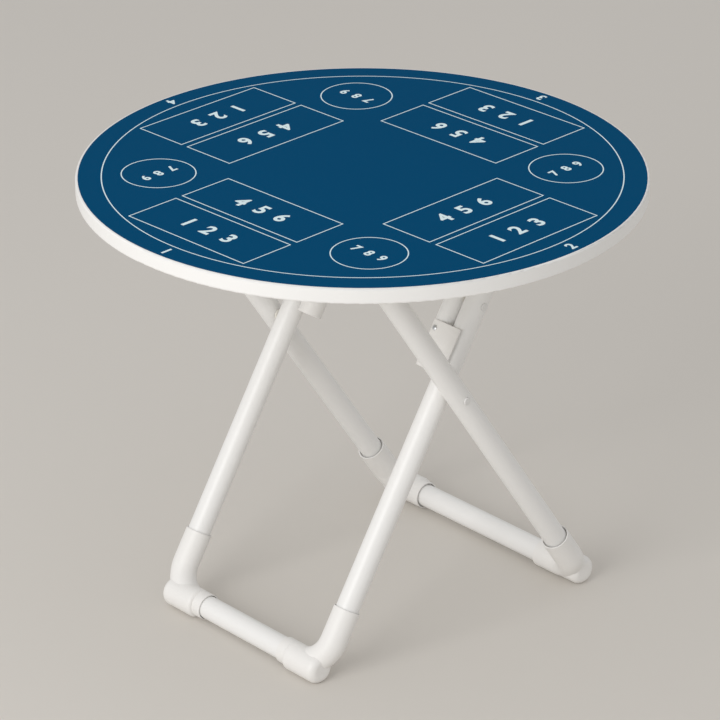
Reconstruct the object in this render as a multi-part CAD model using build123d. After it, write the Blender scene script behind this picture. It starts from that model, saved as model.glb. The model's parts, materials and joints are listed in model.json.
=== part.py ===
# Round folding table: a printed board on two crossed tube frames.
# X runs along the hinge lines, Y from the inner frame's feet to the outer frame's, Z up.
# The origin is on the floor under the middle of the board.
# Every length is in millimetres and every angle in degrees.
import math
import os
from typing import NamedTuple
from build123d import *

# Driving sizes of the whole table
top_diameter = 900.0
top_height = 748.0
board_thickness = 25.0
tube_diameter = 38.0
tube_wall = 1.2
inner_foot_reach = 253.0
outer_foot_reach = 279.5
pivot_drop = 316.0
inner_frame_width = 358.0
frame_gap = 4.0
hinge_drop = 24.0

# How far the table folds: the angle left between the frames, and between board and outer frame
folded_frame_angle = 6.2
folded_board_angle = 7.0

# Board
print_thickness = 0.8
edge_width = 4.0
edge_round = 3.0

# Foot fittings: a round body on the floor, shifted outwards from a bent sleeve
foot_radius = 24.0
foot_flat_depth = 0.5
foot_body_shift = 3.2
foot_body_reach = 67.0
foot_nub_round = 12.0
foot_body_round = 6.0
foot_mouth_depth = 6.0

# The inner frame's foot sleeves
inner_foot_bend = 50.0
inner_foot_sleeve = 21.8
inner_foot_leg_mouth = 103.0
inner_foot_bar_mouth = 85.0
inner_foot_overhang = 5.0
inner_foot_mouth_gap = 1.3

# The outer frame's foot sleeves
outer_foot_bend = 42.0
outer_foot_sleeve = 23.4
outer_foot_leg_mouth = 98.0
outer_foot_bar_mouth = 81.0
outer_foot_overhang = 15.0
outer_foot_mouth_gap = 2.4

# Top fittings of the outer frame
top_fitting_radius = 20.6
top_fitting_bend = 30.0
top_fitting_reach = 50.0
top_fitting_stop = 32.0

# Brace: the short upper frame that carries the board on the inner legs
brace_diameter = 38.0
brace_wall = 1.2
brace_gap = 2.0
arm_below_knee = 121.9
brace_sleeve_radius = 20.2
brace_sleeve_length = 75.0
brace_sleeve_end = 3.0
brace_sleeve_round = 1.5
stop_plate_lift = 0.6
stop_plate_thickness = 2.6
stop_plate_length = 58.0
stop_plate_past_arm = 6.0
stop_plate_past_leg = 11.0
stop_plate_round = 3.0
brace_fitting_radius = 21.5
brace_fitting_bend = 42.0
brace_fitting_reach = 74.0
brace_fitting_stop = 44.0

# Top ends of the inner legs and their plugs
leg_past_knee = 41.1
plug_flange = 3.0
plug_stem = 16.0
plug_round = 1.5

# Rivets, washers and screws
rivet_radius = 4.0
rivet_head_radius = 6.5
rivet_head_height = 2.2
rivet_head_round = 1.4
washer_radius = 9.0
washer_slack = 0.2
screw_radius = 2.0
screw_length = 14.0
screw_head_radius = 4.4
screw_head_height = 2.0
screw_head_round = 1.0
sleeve_screw_radius = 1.6
sleeve_screw_length = 6.0
sleeve_screw_drop = 13.0

# Brackets under the board
saddle_width = 26.0
saddle_gap = 1.5
saddle_wall = 4.0
saddle_flange_length = 78.0
saddle_flange_thickness = 3.0
cradle_width = 34.0
cradle_gap = 50.0
cradle_length = 66.0
cradle_depth = 13.0
cradle_round = 3.0
bracket_screw_inset = 7.0

# Clearances
slip = 0.05
running_slip = 0.06
soft_gap = 0.3
overrun = 5.0

# Sizes worked out from the values above
top_radius = top_diameter / 2
board_bottom = top_height - board_thickness
hinge_height = board_bottom - hinge_drop
pivot_height = top_height - pivot_drop
tube_radius = tube_diameter / 2
tube_bore = tube_radius - tube_wall
foot_axis_height = foot_radius - foot_flat_depth
inner_half = inner_frame_width / 2
outer_half = inner_half + tube_diameter + frame_gap
brace_radius = brace_diameter / 2
brace_bore = brace_radius - brace_wall
brace_half = inner_half - tube_radius - brace_gap - brace_radius
saddle_offset = brace_half - brace_fitting_reach - saddle_gap - saddle_width / 2
cradle_offset = outer_half - top_fitting_reach - cradle_gap - cradle_width / 2

inner_foot = (-inner_foot_reach, foot_axis_height)
outer_foot = (outer_foot_reach, foot_axis_height)
pivot = (0.0, pivot_height)


def unit(start, end):
    """Unit vector from one Y, Z point to another."""
    span = math.dist(start, end)
    return ((end[0] - start[0]) / span, (end[1] - start[1]) / span)


def along(start, direction, reach):
    """The Y, Z point that lies a given reach along a direction."""
    return (start[0] + direction[0] * reach, start[1] + direction[1] * reach)


inner_up = unit(inner_foot, pivot)
outer_up = unit(outer_foot, pivot)
brace_hinge = along(pivot, inner_up, (hinge_height - pivot_height) / inner_up[1])
bar_rest = along(pivot, outer_up, (hinge_height - pivot_height) / outer_up[1])
outer_upper_length = math.dist(pivot, bar_rest)
pivot_to_hinge = math.dist(pivot, brace_hinge)


def knee_reach():
    """Distance from the frame pivot to the brace's knee rivet.

    Open, pivot, knee and board hinge lie in one line. Folded, the outer frame's top bar
    is back in its cradle and the same three points close a triangle: the cosine rule
    for that triangle gives the reach.
    """
    board_fold = math.radians(folded_board_angle)
    inner_fold = math.radians(folded_board_angle + folded_frame_angle)
    folded_pivot = (
        bar_rest[0] + outer_upper_length * math.cos(board_fold),
        bar_rest[1] - outer_upper_length * math.sin(board_fold),
    )
    inner_direction = (-math.cos(inner_fold), math.sin(inner_fold))
    span_y = brace_hinge[0] - folded_pivot[0]
    span_z = brace_hinge[1] - folded_pivot[1]
    span_squared = span_y**2 + span_z**2
    span_along = span_y * inner_direction[0] + span_z * inner_direction[1]
    return (pivot_to_hinge**2 - span_squared) / (2 * (pivot_to_hinge - span_along))


knee_distance = knee_reach()
knee = along(pivot, inner_up, knee_distance)
brace_tail_reach = knee_distance - arm_below_knee
sleeve_mouth_reach = brace_tail_reach + brace_sleeve_length
stop_plate_seat = tube_radius + stop_plate_lift
leg_front = Vector(0, -inner_up[1], inner_up[0])
inner_leg_top_reach = knee_distance + leg_past_knee


class FrameFeet(NamedTuple):
    """The sizes that one frame's two foot fittings share."""

    half_width: float
    foot: tuple
    up: tuple
    bend: float
    sleeve: float
    leg_mouth: float
    bar_mouth: float
    overhang: float
    mouth_gap: float


inner_feet = FrameFeet(
    inner_half,
    inner_foot,
    inner_up,
    inner_foot_bend,
    inner_foot_sleeve,
    inner_foot_leg_mouth,
    inner_foot_bar_mouth,
    inner_foot_overhang,
    inner_foot_mouth_gap,
)
outer_feet = FrameFeet(
    outer_half,
    outer_foot,
    outer_up,
    outer_foot_bend,
    outer_foot_sleeve,
    outer_foot_leg_mouth,
    outer_foot_bar_mouth,
    outer_foot_overhang,
    outer_foot_mouth_gap,
)


def space(x, point):
    """A 3-D point from an X and a Y, Z point."""
    return Vector(x, point[0], point[1])


def rod(start, end, radius):
    """A solid cylinder from one point to another."""
    line = end - start
    base = Cylinder(radius, line.length, align=(Align.CENTER, Align.CENTER, Align.MIN))
    return Plane(origin=start, z_dir=line) * base


def pipe(start, end, radius, bore):
    """A straight tube from one point to another."""
    line = (end - start).normalized()
    return rod(start, end, radius) - rod(start - line * overrun, end + line * overrun, bore)


def edge_near(shape, point, radius):
    """The circular edge of a radius whose centre lies nearest to a point."""
    circles = shape.edges().filter_by(GeomType.CIRCLE)
    fitting = [edge for edge in circles if math.isclose(edge.radius, radius, rel_tol=1e-3)]
    return min(fitting, key=lambda edge: (edge.arc_center - point).length)


def foot_fitting(side, feet):
    """Moulded corner: a round body on the floor and a bent sleeve from the leg to the bar."""
    corner = space(side * feet.half_width, feet.foot)
    inward = Vector(-side, 0, 0)
    leg_way = Vector(0, feet.up[0], feet.up[1])
    bar_mouth = corner + inward * feet.bar_mouth
    leg_mouth = corner + leg_way * feet.leg_mouth
    body_middle = corner + Vector(0, math.copysign(foot_body_shift, feet.foot[0]), 0)
    nub = body_middle - inward * feet.overhang
    shoulder = body_middle + inward * foot_body_reach
    body = rod(nub, shoulder, foot_radius)
    body = fillet(edge_near(body, nub, foot_radius), foot_nub_round)
    body = fillet(edge_near(body, shoulder, foot_radius), foot_body_round)
    path = FilletPolyline(leg_mouth, corner, bar_mouth, radius=feet.bend)
    profile = Plane(origin=leg_mouth, z_dir=-leg_way) * Circle(feet.sleeve)
    body += sweep(profile, path=path)
    for way, mouth in ((inward, bar_mouth), (leg_way, leg_mouth)):
        past = mouth + way * overrun
        body -= rod(corner + way * feet.bend, past, tube_radius + slip)
        body -= rod(mouth - way * foot_mouth_depth, past, tube_radius + feet.mouth_gap)
    floor_cut = Box(
        2 * (feet.bar_mouth + feet.overhang),
        4 * foot_radius,
        foot_radius,
        align=(Align.CENTER, Align.CENTER, Align.MAX),
    )
    return body - Pos(corner.X, corner.Y, 0) * floor_cut


def bend_fitting(corner, leg_way, bar_way, radius, bend, reach, stop, bore):
    """A bent sleeve that joins a leg tube to a top bar."""
    leg_mouth = corner + leg_way * reach
    bar_mouth = corner + bar_way * reach
    path = FilletPolyline(leg_mouth, corner, bar_mouth, radius=bend)
    profile = Plane(origin=leg_mouth, z_dir=-leg_way) * Circle(radius)
    body = sweep(profile, path=path)
    for way, mouth in ((leg_way, leg_mouth), (bar_way, bar_mouth)):
        body -= rod(corner + way * stop, mouth + way * overrun, bore)
    return body


def domed_head(face, way, radius, height, rounding):
    """A low round head that stands on a point and faces one way."""
    head = rod(face, face + way * height, radius)
    return fillet(edge_near(head, face + way * height, radius), rounding)


def rivet(side, point, outer_face, inner_face):
    """A rivet along X with a domed head at both ends."""
    outward = Vector(side, 0, 0)
    outer = space(side * outer_face, point)
    inner = space(side * inner_face, point)
    shank = rod(inner, outer, rivet_radius)
    outer_head = domed_head(outer, outward, rivet_head_radius, rivet_head_height, rivet_head_round)
    inner_head = domed_head(inner, -outward, rivet_head_radius, rivet_head_height, rivet_head_round)
    return shank + outer_head + inner_head


def washer(side, point, low, high):
    """A flat spacer that rides on a rivet between two tubes."""
    start = space(side * (low + washer_slack), point)
    end = space(side * (high - washer_slack), point)
    return pipe(start, end, washer_radius, rivet_radius + slip)


def cross_hole(side, centre_x, point, radius, inward=tube_diameter):
    """The cut that a rivet needs through one tube, or through its outer wall alone."""
    start = space(side * (centre_x - inward), point)
    end = space(side * (centre_x + tube_diameter), point)
    return rod(start, end, radius)


def board_screw(x, y, head_bottom):
    """A wood screw up through a bracket into the board."""
    seat = Vector(x, y, head_bottom)
    up = Vector(0, 0, 1)
    head = domed_head(seat, -up, screw_head_radius, screw_head_height, screw_head_round)
    return head + rod(seat, seat + up * screw_length, screw_radius)


def screw_places(centre_y, offset, length):
    """X, Y places of the four screws of a bracket pair."""
    half = length / 2 - bracket_screw_inset
    return [(side * offset, centre_y + end * half) for side in (-1, 1) for end in (-1, 1)]


saddle_screws = screw_places(brace_hinge[0], saddle_offset, saddle_flange_length)
cradle_screws = screw_places(bar_rest[0], cradle_offset, cradle_length)
saddle_seat = board_bottom - saddle_flange_thickness
cradle_seat = board_bottom - cradle_depth


def screw_bores(places):
    """The holes that a group of board screws needs."""
    low = board_bottom - cradle_depth - overrun
    high = max(saddle_seat, cradle_seat) + screw_length + slip
    cuts = [rod(Vector(x, y, low), Vector(x, y, high), screw_radius + slip) for x, y in places]
    return Part() + cuts


def board_core():
    disc = Cylinder(
        top_radius - edge_width,
        board_thickness - print_thickness,
        align=(Align.CENTER, Align.CENTER, Align.MIN),
    )
    return Pos(0, 0, board_bottom) * disc - screw_bores(saddle_screws + cradle_screws)


def printed_surface():
    disc = Cylinder(
        top_radius - edge_width,
        print_thickness,
        align=(Align.CENTER, Align.CENTER, Align.MAX),
    )
    return Pos(0, 0, top_height) * disc


def edge_band():
    base = Vector(0, 0, board_bottom)
    crown = Vector(0, 0, top_height)
    ring = pipe(base, crown, top_radius, top_radius - edge_width)
    rims = [edge_near(ring, base, top_radius), edge_near(ring, crown, top_radius)]
    return fillet(rims, edge_round)


def hinge_saddle(side):
    """A closed saddle that the brace's top bar turns in."""
    centre = space(side * saddle_offset, brace_hinge)
    half = Vector(saddle_width / 2, 0, 0)
    outer = brace_radius + running_slip + saddle_wall
    cheek = Box(saddle_width, 2 * outer, hinge_drop, align=(Align.CENTER, Align.CENTER, Align.MIN))
    flange = Box(
        saddle_width,
        saddle_flange_length,
        saddle_flange_thickness,
        align=(Align.CENTER, Align.CENTER, Align.MAX),
    )
    body = rod(centre - half, centre + half, outer) + Pos(*centre) * cheek
    body += Pos(centre.X, centre.Y, board_bottom) * flange
    reach = half + Vector(overrun, 0, 0)
    body -= rod(centre - reach, centre + reach, brace_radius + running_slip)
    return body - screw_bores(saddle_screws)


def bar_cradle(side):
    """An open cradle that the outer frame's top bar rests in."""
    centre = space(side * cradle_offset, bar_rest)
    block = Box(cradle_width, cradle_length, cradle_depth, align=(Align.CENTER, Align.CENTER, Align.MAX))
    block = fillet(block.edges().filter_by(Axis.Z), cradle_round)
    body = Pos(centre.X, centre.Y, board_bottom) * block
    reach = Vector(cradle_width / 2 + overrun, 0, 0)
    body -= rod(centre - reach, centre + reach, tube_radius + soft_gap)
    return body - screw_bores(cradle_screws)


def foot_bar(feet):
    end = feet.half_width - feet.bend
    return pipe(space(-end, feet.foot), space(end, feet.foot), tube_radius, tube_bore)


def outer_leg(side):
    start = space(side * outer_half, along(outer_foot, outer_up, outer_foot_bend))
    end = space(side * outer_half, along(bar_rest, outer_up, -top_fitting_stop))
    return pipe(start, end, tube_radius, tube_bore) - cross_hole(side, outer_half, pivot, rivet_radius + slip)


def outer_top_fitting(side):
    corner = space(side * outer_half, bar_rest)
    return bend_fitting(
        corner,
        Vector(0, -outer_up[0], -outer_up[1]),
        Vector(-side, 0, 0),
        top_fitting_radius,
        top_fitting_bend,
        top_fitting_reach,
        top_fitting_stop,
        tube_radius + slip,
    )


def outer_top_bar():
    end = outer_half - top_fitting_stop
    return pipe(space(-end, bar_rest), space(end, bar_rest), tube_radius, tube_bore)


def inner_leg(side):
    start = space(side * inner_half, along(inner_foot, inner_up, inner_foot_bend))
    end = space(side * inner_half, along(pivot, inner_up, inner_leg_top_reach - plug_flange))
    body = pipe(start, end, tube_radius, tube_bore)
    body -= cross_hole(side, inner_half, pivot, rivet_radius + running_slip, inward=0)
    return body - cross_hole(side, inner_half, knee, rivet_radius + slip)


def inner_leg_plug(side):
    rim = space(side * inner_half, along(pivot, inner_up, inner_leg_top_reach - plug_flange))
    way = Vector(0, inner_up[0], inner_up[1])
    flange = rod(rim, rim + way * plug_flange, tube_radius)
    flange = fillet(edge_near(flange, rim + way * plug_flange, tube_radius), plug_round)
    return flange + rod(rim - way * plug_stem, rim, tube_bore - slip)


def brace_arm(side):
    start = space(side * brace_half, along(pivot, inner_up, brace_tail_reach))
    end = space(side * brace_half, along(brace_hinge, inner_up, -brace_fitting_stop))
    body = pipe(start, end, brace_radius, brace_bore)
    body -= cross_hole(side, brace_half, knee, rivet_radius + running_slip)
    return body - sleeve_screw(side, slip)


def stop_plate(side):
    """The flat wing of a sleeve that lies over the front of the inner leg."""
    low = brace_half - stop_plate_past_arm
    high = inner_half + stop_plate_past_leg
    plate = Box(
        high - low,
        stop_plate_length,
        stop_plate_thickness,
        align=(Align.CENTER, Align.MAX, Align.MIN),
    )
    plate = fillet(plate.edges().filter_by(Axis.Z), stop_plate_round)
    middle = space(side * (low + high) / 2, along(pivot, inner_up, sleeve_mouth_reach))
    seat = middle + leg_front * stop_plate_seat
    return Plane(origin=seat, x_dir=Vector(1, 0, 0), z_dir=leg_front) * plate


def brace_sleeve(side):
    """The closed cap on an arm's lower end, with the wing that stops the knee."""
    start = space(side * brace_half, along(pivot, inner_up, brace_tail_reach))
    way = Vector(0, inner_up[0], inner_up[1])
    end = start + way * brace_sleeve_length
    body = rod(start - way * brace_sleeve_end, end, brace_sleeve_radius)
    closed_end = edge_near(body, start - way * brace_sleeve_end, brace_sleeve_radius)
    body = fillet(closed_end, brace_sleeve_round) + stop_plate(side)
    body -= rod(start, end + way * overrun, brace_radius + slip)
    return body - sleeve_screw(side, slip)


def sleeve_screw(side, slack):
    """The small screw that holds a sleeve on its arm, from the front."""
    reach = sleeve_mouth_reach - sleeve_screw_drop
    axis_point = space(side * brace_half, along(pivot, inner_up, reach))
    seat = axis_point + leg_front * (stop_plate_seat + stop_plate_thickness)
    shank = rod(seat, seat - leg_front * sleeve_screw_length, sleeve_screw_radius + slack)
    if slack:
        return shank
    return shank + domed_head(seat, leg_front, screw_head_radius, screw_head_height, screw_head_round)


def brace_top_fitting(side):
    corner = space(side * brace_half, brace_hinge)
    return bend_fitting(
        corner,
        Vector(0, -inner_up[0], -inner_up[1]),
        Vector(-side, 0, 0),
        brace_fitting_radius,
        brace_fitting_bend,
        brace_fitting_reach,
        brace_fitting_stop,
        brace_radius + slip,
    )


def brace_top_bar():
    end = brace_half - brace_fitting_stop
    return pipe(space(-end, brace_hinge), space(end, brace_hinge), brace_radius, brace_bore)


outer_face = outer_half + tube_radius
frame_faces = (inner_half + tube_radius, outer_half - tube_radius)
brace_faces = (brace_half + brace_radius, inner_half - tube_radius)

# The pivot rivet is closed inside the inner leg, where its head clears the curved wall
blind_face = inner_half + math.sqrt(tube_bore**2 - rivet_head_radius**2) - soft_gap
knee_face = brace_half - brace_radius - soft_gap

os.makedirs("parts", exist_ok=True)

nodes = {
    "board_core": board_core(),
    "printed_surface": printed_surface(),
    "edge_band": edge_band(),
    "saddle_screws": Part() + [board_screw(x, y, saddle_seat) for x, y in saddle_screws],
    "cradle_screws": Part() + [board_screw(x, y, cradle_seat) for x, y in cradle_screws],
    "outer_foot_bar": foot_bar(outer_feet),
    "outer_top_bar": outer_top_bar(),
    "inner_foot_bar": foot_bar(inner_feet),
    "brace_top_bar": brace_top_bar(),
}

for side_name, side in (("left", -1), ("right", 1)):
    nodes["hinge_saddle_" + side_name] = hinge_saddle(side)
    nodes["bar_cradle_" + side_name] = bar_cradle(side)
    nodes["outer_foot_" + side_name] = foot_fitting(side, outer_feet)
    nodes["outer_leg_" + side_name] = outer_leg(side)
    nodes["outer_top_fitting_" + side_name] = outer_top_fitting(side)
    nodes["pivot_rivet_" + side_name] = rivet(side, pivot, outer_face, blind_face)
    nodes["pivot_washer_" + side_name] = washer(side, pivot, *frame_faces)
    nodes["inner_foot_" + side_name] = foot_fitting(side, inner_feet)
    nodes["inner_leg_" + side_name] = inner_leg(side)
    nodes["inner_leg_plug_" + side_name] = inner_leg_plug(side)
    nodes["knee_rivet_" + side_name] = rivet(side, knee, frame_faces[0], knee_face)
    nodes["knee_washer_" + side_name] = washer(side, knee, *brace_faces)
    nodes["brace_arm_" + side_name] = brace_arm(side)
    nodes["brace_sleeve_" + side_name] = brace_sleeve(side)
    nodes["brace_top_fitting_" + side_name] = brace_top_fitting(side)
    nodes["sleeve_screw_" + side_name] = sleeve_screw(side, 0)

for name, shape in nodes.items():
    export_step(shape, "parts/" + name + ".step")
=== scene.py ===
import json
import math

import bmesh
import bpy
import numpy as np
from bpy.props import FloatProperty, FloatVectorProperty, IntProperty, PointerProperty
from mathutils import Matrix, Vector


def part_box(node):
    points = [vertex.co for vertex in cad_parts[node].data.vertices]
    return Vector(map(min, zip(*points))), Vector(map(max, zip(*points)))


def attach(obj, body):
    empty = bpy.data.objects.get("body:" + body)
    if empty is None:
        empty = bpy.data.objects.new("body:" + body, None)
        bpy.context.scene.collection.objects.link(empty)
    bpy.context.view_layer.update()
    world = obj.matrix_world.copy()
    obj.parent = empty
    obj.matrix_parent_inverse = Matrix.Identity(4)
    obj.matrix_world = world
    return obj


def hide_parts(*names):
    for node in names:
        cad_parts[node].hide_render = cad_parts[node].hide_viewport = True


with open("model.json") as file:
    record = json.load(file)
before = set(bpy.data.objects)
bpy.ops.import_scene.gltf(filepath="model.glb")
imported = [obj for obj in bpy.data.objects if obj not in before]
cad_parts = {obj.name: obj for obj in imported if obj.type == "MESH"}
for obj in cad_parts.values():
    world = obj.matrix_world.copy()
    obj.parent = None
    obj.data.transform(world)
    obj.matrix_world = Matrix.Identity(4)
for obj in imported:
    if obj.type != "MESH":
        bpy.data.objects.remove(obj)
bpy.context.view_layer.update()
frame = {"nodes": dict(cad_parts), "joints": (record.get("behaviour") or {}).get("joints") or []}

bl_info = {
    "name": "Round folding table",
    "version": (1, 0, 0),
    "blender": (4, 5, 0),
    "location": "3D View > Sidebar > Table",
    "description": "Finishes, board print and studio of a round folding table",
    "category": "Add Mesh",
}

MM = 0.001
SEATS = 4
GLOSS_BELOW = 0.04
GLOSS_ABOVE = 0.06
DRIFT_DETAIL = 3.0
DIMPLE_DETAIL = 2.0
DIGIT_CURVE_STEPS = 8
MERGE_DISTANCE = 1e-5
CAMERA_SIGHT = 100.0


def linear(hex_colour):
    """Linear RGBA of an sRGB hex colour: each channel over 255, then the sRGB curve undone."""
    channels = [int(hex_colour[i : i + 2], 16) / 255 for i in (1, 3, 5)]
    return [c / 12.92 if c <= 0.04045 else ((c + 0.055) / 1.055) ** 2.4 for c in channels] + [1.0]


def length(name, description, default):
    """A property that holds a length in metres."""
    return FloatProperty(
        name=name, description=description, default=default, unit="LENGTH", precision=4
    )


def colour(name, description, default):
    """A property that holds a colour, given as sRGB hex."""
    return FloatVectorProperty(
        name=name,
        description=description,
        default=linear(default),
        size=4,
        min=0.0,
        max=1.0,
        subtype="COLOR",
    )


class PrintSizes(bpy.types.PropertyGroup):
    """Sizes of the lines and numbers printed on the board."""

    turn: FloatProperty(
        name="Turn",
        description="How far the print is turned against the hinge lines",
        default=math.radians(2.4),
        subtype="ANGLE",
    )
    lead: FloatProperty(
        name="Lead",
        description="How far the circles and seat numbers stand round past the rectangles",
        default=math.radians(1.6),
        subtype="ANGLE",
    )
    line_width: length("Line width", "Width of every printed line", 1.8 * MM)
    ink_rise: length("Ink rise", "How far the ink stands above the laminate", 0.08 * MM)
    ink_depth: length("Ink depth", "How far the ink reaches into the laminate", 0.05 * MM)
    ring_radius: length("Ring radius", "Radius of the line that runs round the board", 409 * MM)
    panel_length: length("Panel length", "Length of each printed rectangle", 253 * MM)
    panel_depth: length("Panel depth", "Depth of each printed rectangle", 97.5 * MM)
    inner_panel: length("Inner panel", "From the middle to the inner rectangle's side", 170 * MM)
    outer_panel: length("Outer panel", "From the middle to the outer rectangle's side", 281 * MM)
    circle_radius: length("Circle radius", "Radius of each printed circle", 58.5 * MM)
    circle_reach: length("Circle reach", "From the middle to the middle of each circle", 319.5 * MM)
    panel_digit: length("Panel digit", "Height of the numbers in the rectangles", 30 * MM)
    panel_pitch: length("Panel pitch", "Spacing of the numbers in the rectangles", 44 * MM)
    circle_digit: length("Circle digit", "Height of the numbers in the circles", 19 * MM)
    circle_pitch: length("Circle pitch", "Spacing of the numbers in the circles", 27 * MM)
    edge_digit: length("Edge digit", "Height of the seat numbers beside the ring", 20 * MM)
    edge_reach: length("Edge reach", "From the middle to each seat number", 428 * MM)
    digit_weight: FloatProperty(
        name="Digit weight",
        description="How much each stroke is thickened, as a share of the digit height",
        default=0.03,
    )
    round_steps: IntProperty(
        name="Round steps", description="Points round each printed circle", default=256
    )


class ScrewSizes(bpy.types.PropertyGroup):
    """Sizes of the pan-head screws."""

    head_radius: length("Head radius", "Radius of each screw head", 4.4 * MM)
    head_height: length("Head height", "Height of each screw head at its middle", 2.0 * MM)
    rim_height: length("Rim height", "Height of each screw head at its rim", 0.9 * MM)
    recess_length: length("Recess length", "Length of both slots of the cross recess", 4.8 * MM)
    recess_width: length("Recess width", "Width of both slots of the cross recess", 1.3 * MM)
    recess_depth: length("Recess depth", "Depth of the cross recess", 1.0 * MM)
    recess_wall: length("Recess wall", "How far the recess's walls slope", 0.3 * MM)
    sleeve_shank: length("Sleeve shank", "Radius of the sleeve screws' shanks", 1.6 * MM)
    board_shank: length("Board shank", "Radius of the wood screws' shanks", 2.0 * MM)
    head_rings: IntProperty(
        name="Head rings", description="Rings of points over each head", default=30
    )
    round_steps: IntProperty(name="Round steps", description="Points round each screw", default=72)


class FinishColours(bpy.types.PropertyGroup):
    """Colours of the table's surfaces."""

    print_blue: colour("Print blue", "Ground of the printed laminate", "#014C75")
    print_white: colour("Print white", "Printed lines and numbers", "#E8FBFF")
    edge_white: colour("Edge white", "Plastic band round the board", "#F3F2F0")
    board_white: colour("Board white", "Underside of the board", "#ECEBE8")
    tube_white: colour("Tube white", "Powder coat on the steel tubes", "#F1F0EE")
    fitting_white: colour("Fitting white", "Moulded fittings, sleeves and brackets", "#EFEDEA")
    rivet_white: colour("Rivet white", "Painted rivets", "#E6E5E3")
    zinc: colour("Zinc", "Plated screws", "#DFE1E3")
    nylon: colour("Nylon", "Spacers between the tubes", "#E4E1D8")


class StudioSettings(bpy.types.PropertyGroup):
    """The floor, the light and the camera."""

    floor_colour: colour("Floor", "Plain floor", "#DAD5CE")
    floor_size: length("Floor size", "Side of the floor", 60.0)
    sky_colour: colour("Sky", "Even light from all sides", "#FFFFFF")
    sky_strength: FloatProperty(
        name="Sky strength", description="Level of the even light", default=0.65
    )
    key_power: FloatProperty(
        name="Key power", description="Power of the large lamp in watts", default=118.0
    )
    key_side: length("Key side", "Side of the large lamp", 3.0)
    key_distance: length("Key distance", "From the large lamp to the table", 5.2)
    key_azimuth: FloatProperty(
        name="Key azimuth",
        description="Turn of the large lamp round the table, from the side of the inner feet",
        default=math.radians(8.0),
        subtype="ANGLE",
    )
    key_elevation: FloatProperty(
        name="Key elevation",
        description="Height angle of the large lamp",
        default=math.radians(21.0),
        subtype="ANGLE",
    )
    camera_target: FloatVectorProperty(
        name="Camera target",
        description="The point that the camera and the large lamp look at",
        default=(-2.8 * MM, -3.0 * MM, 419.6 * MM),
        unit="LENGTH",
        precision=4,
    )
    camera_distance: length("Camera distance", "From the camera to its target", 6.187)
    camera_azimuth: FloatProperty(
        name="Azimuth",
        description="Turn of the camera round the table, from the side of the inner feet",
        default=math.radians(47.25),
        subtype="ANGLE",
    )
    camera_elevation: FloatProperty(
        name="Elevation",
        description="Height angle of the camera",
        default=math.radians(25.415),
        subtype="ANGLE",
    )
    camera_lens: FloatProperty(
        name="Lens", description="Focal length in millimetres", default=192.86
    )


def add(tree, kind, values=(), links=()):
    """Adds one node: values set its settings or its sockets, links join other sockets to it."""
    node = tree.nodes.new(kind)
    for key, value in dict(values).items():
        if key in node.inputs:
            node.inputs[key].default_value = value
        else:
            setattr(node, key, value)
    for key, source in dict(links).items():
        tree.links.new(source, node.inputs[key])
    return node


def coated(name, base, *, roughness, patch, grain, rise, tone=0.03, sockets=()):
    """A material with a plain colour that drifts slowly and a fine grain in its surface.

    patch is the width of the slow drift and grain the width of one dimple, in metres; rise is
    the dimples' height, and tone how much darker the drift goes, as a share. The roughness
    drifts a little below and above its value with the grain.
    """
    material = bpy.data.materials.new(name)
    material.use_nodes = True
    tree = material.node_tree
    tree.nodes.clear()
    place = add(tree, "ShaderNodeTexCoord").outputs["Object"]
    drift = add(
        tree, "ShaderNodeTexNoise", {"Scale": 1 / patch, "Detail": DRIFT_DETAIL}, {"Vector": place}
    ).outputs["Fac"]
    dimples = add(
        tree, "ShaderNodeTexNoise", {"Scale": 1 / grain, "Detail": DIMPLE_DETAIL}, {"Vector": place}
    ).outputs["Fac"]
    darker = [c * (1 - tone) for c in base[:3]] + [1.0]
    tint = add(
        tree, "ShaderNodeMixRGB", {"Color1": base, "Color2": darker}, {"Fac": drift}
    ).outputs["Color"]
    gloss = add(
        tree,
        "ShaderNodeMapRange",
        {"To Min": roughness - GLOSS_BELOW, "To Max": roughness + GLOSS_ABOVE},
        {"Value": dimples},
    ).outputs["Result"]
    bump = add(
        tree, "ShaderNodeBump", {"Strength": 1.0, "Distance": rise}, {"Height": dimples}
    ).outputs["Normal"]
    shader = add(
        tree,
        "ShaderNodeBsdfPrincipled",
        sockets,
        {"Base Color": tint, "Roughness": gloss, "Normal": bump},
    )
    add(tree, "ShaderNodeOutputMaterial", (), {"Surface": shader.outputs["BSDF"]})
    return material


def dress(material, *nodes):
    """Gives CAD nodes a material."""
    for node in nodes:
        piece = frame["nodes"][node]
        piece.data.materials.clear()
        piece.data.materials.append(material)


def both(name):
    """The left and the right node of a name."""
    return [name + "_left", name + "_right"]


def loop_faces(rows, columns):
    """Quads of a grid of points that closes on itself both ways."""
    row, column = np.meshgrid(np.arange(rows), np.arange(columns), indexing="ij")
    next_row = (row + 1) % rows
    next_column = (column + 1) % columns
    corners = (
        row * columns + column,
        next_row * columns + column,
        next_row * columns + next_column,
        row * columns + next_column,
    )
    return np.stack(corners, -1).reshape(-1, 4)


def make_piece(name, points, faces, material, body, slot):
    """A mesh piece that rides on a body; the slot it is given is not used."""
    mesh = bpy.data.meshes.new(name)
    mesh.from_pydata(points.tolist(), [], [[int(index) for index in face] for face in faces])
    mesh.materials.append(material)
    mesh.validate()
    piece = bpy.data.objects.new(name, mesh)
    bpy.context.scene.collection.objects.link(piece)
    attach(piece, body)
    return piece


def top_height():
    """Height of the board's printed face."""
    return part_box("printed_surface")[1].z


def band(inside, outside, low, high):
    """Points and quads of a flat closed band between two outlines in the plane.

    At each place on the outline the section is a rectangle: inside low, outside low, outside
    high, inside high. The grid of places and section points closes both ways.
    """
    section = [(inside, low), (outside, low), (outside, high), (inside, high)]
    columns = [np.c_[outline, np.full(len(outline), height)] for outline, height in section]
    points = np.stack(columns, 1)
    return points.reshape(-1, 3), loop_faces(len(inside), len(section))


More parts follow.
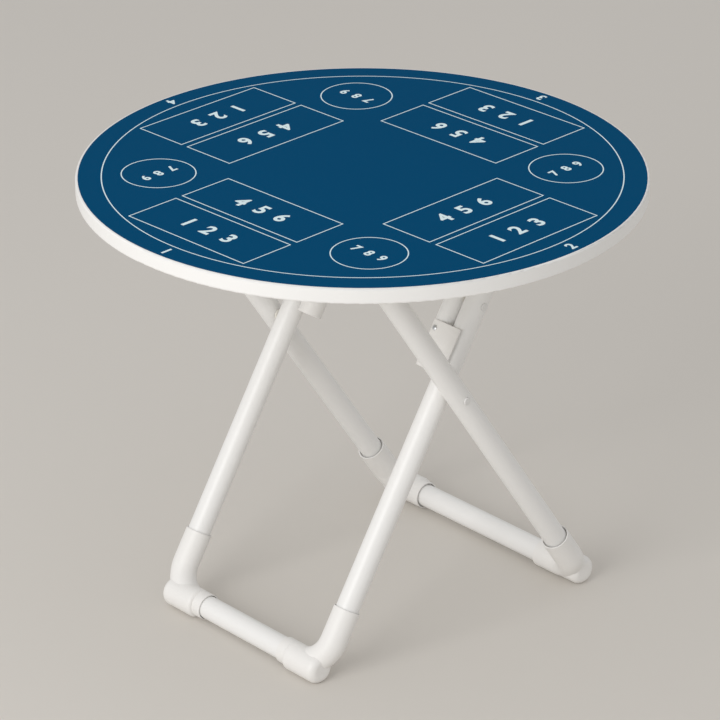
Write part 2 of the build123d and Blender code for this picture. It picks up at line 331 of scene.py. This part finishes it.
def turned(points, angle):
    """Points turned about the vertical axis."""
    turn = np.array([[math.cos(angle), math.sin(angle)], [-math.sin(angle), math.cos(angle)]])
    points = np.array(points, float)
    points[:, :2] = points[:, :2] @ turn
    return points


def around(reach, angle):
    """The flat point at a reach from the middle, at an angle from the X axis."""
    return np.array([math.cos(angle), math.sin(angle)]) * reach


def ring_faces(rows, columns):
    """Faces of rings of points between two poles: a fan at each pole and quads between."""
    column = np.arange(columns)
    following = (column + 1) % columns
    row = np.arange(rows - 1)[:, None] * columns + 1
    corners = (row + column, row + columns + column, row + columns + following, row + following)
    last = (rows - 1) * columns + 1
    first_fan = np.c_[np.zeros(columns, int), column + 1, following + 1]
    last_fan = np.c_[last + column, np.full(columns, last + columns), last + following]
    quads = np.stack(corners, -1).reshape(-1, 4)
    return first_fan.tolist() + quads.tolist() + last_fan.tolist()


def screw(seat, out, shank_radius, shank_length, sizes):
    """A pan-head screw with a cross recess, as rings of points round its axis.

    The head's height falls from its middle to its rim as the root of one less a share of the
    squared radius. The recess lowers the head where the smaller of the two flat coordinates
    is within half the slots' width and the larger one within half their length.
    """
    radius = np.linspace(0, sizes.head_radius, sizes.head_rings + 1)
    share = 1 - (sizes.rim_height / sizes.head_height) ** 2
    dome = sizes.head_height * np.sqrt(1 - share * (radius / sizes.head_radius) ** 2)
    radius = np.r_[radius, sizes.head_radius, shank_radius, shank_radius, 0]
    height = np.r_[dome, 0, 0, -shank_length, -shank_length]
    angle = np.linspace(0, math.tau, sizes.round_steps, endpoint=False)
    flat = radius[:, None, None] * np.stack([np.cos(angle), np.sin(angle)], -1)
    lesser, greater = np.abs(flat).min(-1), np.abs(flat).max(-1)
    slots = np.clip((sizes.recess_width / 2 - lesser) / sizes.recess_wall, 0, 1)
    slots *= np.clip((sizes.recess_length / 2 - greater) / sizes.recess_wall, 0, 1)
    slots[len(dome) :] = 0
    rise = height[:, None] - slots * sizes.recess_depth
    local = np.concatenate([flat, rise[:, :, None]], -1)
    rings = local[1:-1].reshape(-1, 3)
    points = np.concatenate([local[0, :1], rings, local[-1, :1]])
    across = np.array([1.0, 0.0, 0.0])
    axes = np.array([across, np.cross(out, across), out])
    return seat + points @ axes, ring_faces(len(radius) - 2, sizes.round_steps)


def sleeve_screw(node, sizes):
    """The screw in place of a sleeve's plain one, square to the front of the inner leg.

    The joints on the inner leg give its direction. Between the node's ends along the screw
    lie the head's top and the shank's tip.
    """
    place = {joint["name"]: np.array(joint["pos_m"]) for joint in frame["joints"]}
    up = place["knee_fold"] - place["leg_fold"]
    up /= np.linalg.norm(up)
    out = np.array([0.0, -up[2], up[1]])
    axes = np.array([[1.0, 0.0, 0.0], up, out])
    mesh = frame["nodes"][node].data
    points = np.empty(len(mesh.vertices) * 3)
    mesh.vertices.foreach_get("co", points)
    reach = points.reshape(-1, 3) @ axes.T
    low, high = reach.min(0), reach.max(0)
    middle = (low + high) / 2
    top, tip = high[2], low[2]
    seat = np.array([middle[0], middle[1], top - sizes.head_height]) @ axes
    return screw(seat, out, sizes.sleeve_shank, top - tip - sizes.head_height, sizes)


def board_screws(node, sizes):
    """Four wood screws in place of a node's plain ones, at the corners of its box, head down."""
    low, high = (np.array(corner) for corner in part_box(node))
    near, far = low + sizes.head_radius, high - sizes.head_radius
    seat = low[2] + sizes.head_height
    down = np.array([0.0, 0.0, -1.0])
    places = [(x, y, seat) for x in (near[0], far[0]) for y in (near[1], far[1])]
    shank = high[2] - seat
    return joined([screw(np.array(p), down, sizes.board_shank, shank, sizes) for p in places])


def joined(parts):
    """One set of points and faces from several."""
    points, faces, offset = [], [], 0
    for part_points, part_faces in parts:
        points.append(part_points)
        faces.extend([index + offset for index in face] for face in part_faces)
        offset += len(part_points)
    return np.concatenate(points), faces


def circle_line(radius, centre, sizes):
    """A printed circle: two round outlines half a line width each side of the radius."""
    angle = np.linspace(0, math.tau, sizes.round_steps, endpoint=False)
    way = np.c_[np.cos(angle), np.sin(angle)]
    half = sizes.line_width / 2
    low, high = ink_levels(sizes)
    return band(centre + way * (radius - half), centre + way * (radius + half), low, high)


def panel_line(near, sizes):
    """A printed rectangle in front of a seat, from its four corners moved in and out."""
    corner = np.array([(-1, -1), (1, -1), (1, 1), (-1, 1)], float)
    reach = np.array([sizes.panel_length, sizes.panel_depth]) / 2
    centre = np.array([0.0, -near - sizes.panel_depth / 2])
    half = sizes.line_width / 2
    low, high = ink_levels(sizes)
    return band(centre + corner * (reach - half), centre + corner * (reach + half), low, high)


def ink_levels(sizes):
    """Lower and upper face of the ink."""
    top = top_height()
    return top - sizes.ink_depth, top + sizes.ink_rise


def digit(character, sizes):
    """Points and faces of one digit of unit height, with its middle at the origin.

    The digit is a text curve with thickened strokes, turned into a closed mesh one unit thick.
    """
    text = bpy.data.curves.new("digit_" + character, "FONT")
    text.body = character
    text.align_x = "CENTER"
    text.offset = sizes.digit_weight
    text.extrude = 0.5
    text.resolution_u = DIGIT_CURVE_STEPS
    holder = bpy.data.objects.new("digit_" + character, text)
    mesh = bpy.data.meshes.new_from_object(holder)
    shape = bmesh.new()
    shape.from_mesh(mesh)
    bmesh.ops.remove_doubles(shape, verts=shape.verts, dist=MERGE_DISTANCE)
    bmesh.ops.recalc_face_normals(shape, faces=shape.faces)
    shape.verts.ensure_lookup_table()
    points = np.array([v.co for v in shape.verts], float)
    faces = [[v.index for v in face.verts] for face in shape.faces]
    shape.free()
    bpy.data.objects.remove(holder)
    bpy.data.meshes.remove(mesh)
    bpy.data.curves.remove(text)
    low, high = points.min(0), points.max(0)
    height = high[1] - low[1]
    points[:, :2] = (points[:, :2] - (low[:2] + high[:2]) / 2) / height
    return points, faces


def number(characters, height, pitch, centre, sizes):
    """A row of digits of a height and spacing about a point, as thick as the ink."""
    low, high = ink_levels(sizes)
    parts = []
    for place, character in enumerate(characters):
        points, faces = digit(character, sizes)
        points = points * [height, height, high - low]
        points += [
            centre[0] + (place - (len(characters) - 1) / 2) * pitch,
            centre[1],
            (low + high) / 2,
        ]
        parts.append((points, faces))
    return joined(parts)


class TABLE_OT_board(bpy.types.Operator):
    """Finish the board: laminate face, edge band and underside"""

    bl_idname = "table.board"
    bl_label = "Board"

    def execute(self, context):
        colours = context.scene.table_colours
        # Printed melamine laminate, pressed on a satin plate: an even ground with a slight peel.
        # The peel is drawn a few times wider than the real 0.5 mm, so that it shows.
        laminate = coated(
            "printed_laminate",
            colours.print_blue,
            roughness=0.5,
            patch=180 * MM,
            grain=2.5 * MM,
            rise=0.02 * MM,
            tone=0.05,
            sockets={"Specular IOR Level": 0.006},
        )
        # Extruded PVC: smooth and a little glossier than the board it closes.
        pvc = coated(
            "pvc_edge_band",
            colours.edge_white,
            roughness=0.38,
            patch=90 * MM,
            grain=6 * MM,
            rise=0.03 * MM,
        )
        # White melamine-faced fibreboard: matt, with the pearl texture of its press plate.
        melamine = coated(
            "melamine_board",
            colours.board_white,
            roughness=0.55,
            patch=150 * MM,
            grain=3 * MM,
            rise=0.05 * MM,
        )
        dress(laminate, "printed_surface")
        dress(pvc, "edge_band")
        dress(melamine, "board_core")
        return {"FINISHED"}


class TABLE_OT_print(bpy.types.Operator):
    """Print the lines and the plain numbers on the board, one set for each seat"""

    bl_idname = "table.print"
    bl_label = "Print"

    def execute(self, context):
        colours = context.scene.table_colours
        sizes = context.scene.table_print
        # Screen ink on the laminate: flat, opaque and as satin as the ground.
        ink = coated(
            "white_print",
            colours.print_white,
            roughness=0.5,
            patch=40 * MM,
            grain=2.5 * MM,
            rise=0.01 * MM,
            tone=0.04,
            sockets={"Specular IOR Level": 0.006},
        )
        ring = circle_line(sizes.ring_radius, np.zeros(2), sizes)
        make_piece("print_ring", *ring, ink, "tabletop", "blue_print")
        circle_centre = around(sizes.circle_reach, sizes.lead - math.pi / 4)
        seat_centre = around(sizes.edge_reach, sizes.lead - math.pi / 2)
        for seat in range(SEATS):
            angle = sizes.turn + seat * math.tau / SEATS
            lines = joined(
                [
                    panel_line(sizes.inner_panel, sizes),
                    panel_line(sizes.outer_panel, sizes),
                    circle_line(sizes.circle_radius, circle_centre, sizes),
                ]
            )
            outer = (0, -sizes.outer_panel - sizes.panel_depth / 2)
            inner = (0, -sizes.inner_panel - sizes.panel_depth / 2)
            numbers = joined(
                [
                    number("123", sizes.panel_digit, sizes.panel_pitch, outer, sizes),
                    number("456", sizes.panel_digit, sizes.panel_pitch, inner, sizes),
                    number("789", sizes.circle_digit, sizes.circle_pitch, circle_centre, sizes),
                    number(str(seat + 1), sizes.edge_digit, 0, seat_centre, sizes),
                ]
            )
            for kind, (points, faces) in (("lines", lines), ("numbers", numbers)):
                name = f"print_{kind}_{seat + 1}"
                make_piece(name, turned(points, angle), faces, ink, "tabletop", "blue_print")
        return {"FINISHED"}


class TABLE_OT_frames(bpy.types.Operator):
    """Finish the tube frames, their fittings, brackets, rivets and spacers"""

    bl_idname = "table.frames"
    bl_label = "Frames"

    def execute(self, context):
        colours = context.scene.table_colours
        # Polyester powder coat, baked on steel: satin, with a soft orange peel.
        powder = coated(
            "powder_coat",
            colours.tube_white,
            roughness=0.34,
            patch=120 * MM,
            grain=5 * MM,
            rise=0.05 * MM,
        )
        # Polypropylene from a fine-sparked mould: duller than the coat, a touch warmer.
        moulded = coated(
            "polypropylene",
            colours.fitting_white,
            roughness=0.45,
            patch=60 * MM,
            grain=3 * MM,
            rise=0.04 * MM,
        )
        # Enamelled steel rivets, pressed after painting.
        enamel = coated(
            "enamelled_steel",
            colours.rivet_white,
            roughness=0.35,
            patch=20 * MM,
            grain=2 * MM,
            rise=0.02 * MM,
        )
        # Natural nylon: milky and smooth.
        nylon = coated(
            "nylon", colours.nylon, roughness=0.4, patch=20 * MM, grain=2 * MM, rise=0.02 * MM
        )
        bars = ["inner_foot_bar", "outer_foot_bar", "outer_top_bar", "brace_top_bar"]
        dress(powder, *bars, *both("inner_leg"), *both("outer_leg"), *both("brace_arm"))
        for name in (
            "inner_foot",
            "outer_foot",
            "outer_top_fitting",
            "brace_top_fitting",
            "inner_leg_plug",
            "brace_sleeve",
            "hinge_saddle",
            "bar_cradle",
        ):
            dress(moulded, *both(name))
        dress(enamel, *both("pivot_rivet"), *both("knee_rivet"))
        dress(nylon, *both("pivot_washer"), *both("knee_washer"))
        return {"FINISHED"}


class TABLE_OT_screws(bpy.types.Operator):
    """Build the zinc-plated screws with their cross recesses, in place of the plain ones"""

    bl_idname = "table.screws"
    bl_label = "Screws"

    def execute(self, context):
        sizes = context.scene.table_screws
        # Bright zinc plate on steel: a metal, soft and slightly cloudy.
        zinc = coated(
            "zinc_plate",
            context.scene.table_colours.zinc,
            roughness=0.36,
            patch=8 * MM,
            grain=1.5 * MM,
            rise=0.02 * MM,
            tone=0.15,
            sockets={"Metallic": 1.0},
        )
        for node in both("sleeve_screw"):
            points, faces = sleeve_screw(node, sizes)
            piece = make_piece("recessed_" + node, points, faces, zinc, "brace", "zinc_steel")
            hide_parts(node)
        for node in ("saddle_screws", "cradle_screws"):
            points, faces = board_screws(node, sizes)
            piece = make_piece("recessed_" + node, points, faces, zinc, "tabletop", "zinc_steel")
            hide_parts(node)
        return {"FINISHED"}


class TABLE_OT_stage(bpy.types.Operator):
    """Set the plain floor, the soft light and the camera"""

    bl_idname = "table.stage"
    bl_label = "Stage"

    def execute(self, context):
        studio = context.scene.table_studio
        scene = context.scene
        scene.view_settings.view_transform = "Standard"
        make_floor(studio)
        make_sky(scene, studio)
        make_lamp(scene, studio)
        make_camera(scene, studio)
        return {"FINISHED"}


def make_floor(studio):
    """A plain square floor under the feet."""
    half = studio.floor_size / 2
    mesh = bpy.data.meshes.new("floor")
    corners = [(-half, -half, 0), (half, -half, 0), (half, half, 0), (-half, half, 0)]
    mesh.from_pydata(corners, [], [(0, 1, 2, 3)])
    # Painted concrete, matt and even, so that only the shadow shows.
    paint = coated(
        "plain_floor",
        studio.floor_colour,
        roughness=0.8,
        patch=900 * MM,
        grain=4 * MM,
        rise=0.02 * MM,
        tone=0.015,
    )
    mesh.materials.append(paint)
    floor = bpy.data.objects.new("floor", mesh)
    bpy.context.scene.collection.objects.link(floor)


def make_sky(scene, studio):
    """Even light of one colour from all sides."""
    scene.world = bpy.data.worlds.new("studio")
    scene.world.use_nodes = True
    sky = scene.world.node_tree.nodes["Background"]
    sky.inputs["Color"].default_value = studio.sky_colour
    sky.inputs["Strength"].default_value = studio.sky_strength


def way(azimuth, elevation):
    """Unit vector out from the table: azimuth 0 is along -Y and grows towards +X."""
    flat = math.cos(elevation)
    return Vector((math.sin(azimuth) * flat, -math.cos(azimuth) * flat, math.sin(elevation)))


def aim(scene, name, data, out, distance, target):
    """Puts a lamp or a camera at a distance from its target, facing it."""
    piece = bpy.data.objects.new(name, data)
    piece.location = Vector(target) + out * distance
    piece.rotation_euler = out.to_track_quat("Z", "Y").to_euler()
    scene.collection.objects.link(piece)
    return piece


def make_lamp(scene, studio):
    """A square soft lamp to the left of the camera and a little lower, to reach the legs."""
    data = bpy.data.lights.new("key_lamp", "AREA")
    data.energy = studio.key_power
    data.size = studio.key_side
    out = way(studio.key_azimuth, studio.key_elevation)
    aim(scene, "key_lamp", data, out, studio.key_distance, studio.camera_target)


def make_camera(scene, studio):
    """The camera, on a sphere round its target."""
    data = bpy.data.cameras.new("camera")
    data.lens = studio.camera_lens
    data.clip_end = CAMERA_SIGHT
    out = way(studio.camera_azimuth, studio.camera_elevation)
    scene.camera = aim(scene, "camera", data, out, studio.camera_distance, studio.camera_target)


class TABLE_PT_panel(bpy.types.Panel):
    """Buttons for every group of pieces"""

    bl_idname = "TABLE_PT_panel"
    bl_label = "Round folding table"
    bl_space_type = "VIEW_3D"
    bl_region_type = "UI"
    bl_category = "Table"

    def draw(self, context):
        for operator in OPERATORS:
            self.layout.operator(operator.bl_idname)


OPERATORS = (TABLE_OT_board, TABLE_OT_print, TABLE_OT_frames, TABLE_OT_screws, TABLE_OT_stage)
SETTINGS = {
    "table_print": PrintSizes,
    "table_screws": ScrewSizes,
    "table_colours": FinishColours,
    "table_studio": StudioSettings,
}


def register():
    for group in SETTINGS.values():
        bpy.utils.register_class(group)
    for name, group in SETTINGS.items():
        setattr(bpy.types.Scene, name, PointerProperty(type=group))
    for cls in (*OPERATORS, TABLE_PT_panel):
        bpy.utils.register_class(cls)


def unregister():
    for cls in (TABLE_PT_panel, *reversed(OPERATORS)):
        bpy.utils.unregister_class(cls)
    for name, group in SETTINGS.items():
        delattr(bpy.types.Scene, name)
        bpy.utils.unregister_class(group)


def main():
    register()
    bpy.ops.table.board()
    bpy.ops.table.print()
    bpy.ops.table.frames()
    bpy.ops.table.screws()
    bpy.ops.table.stage()


if __name__ == "__main__":
    main()
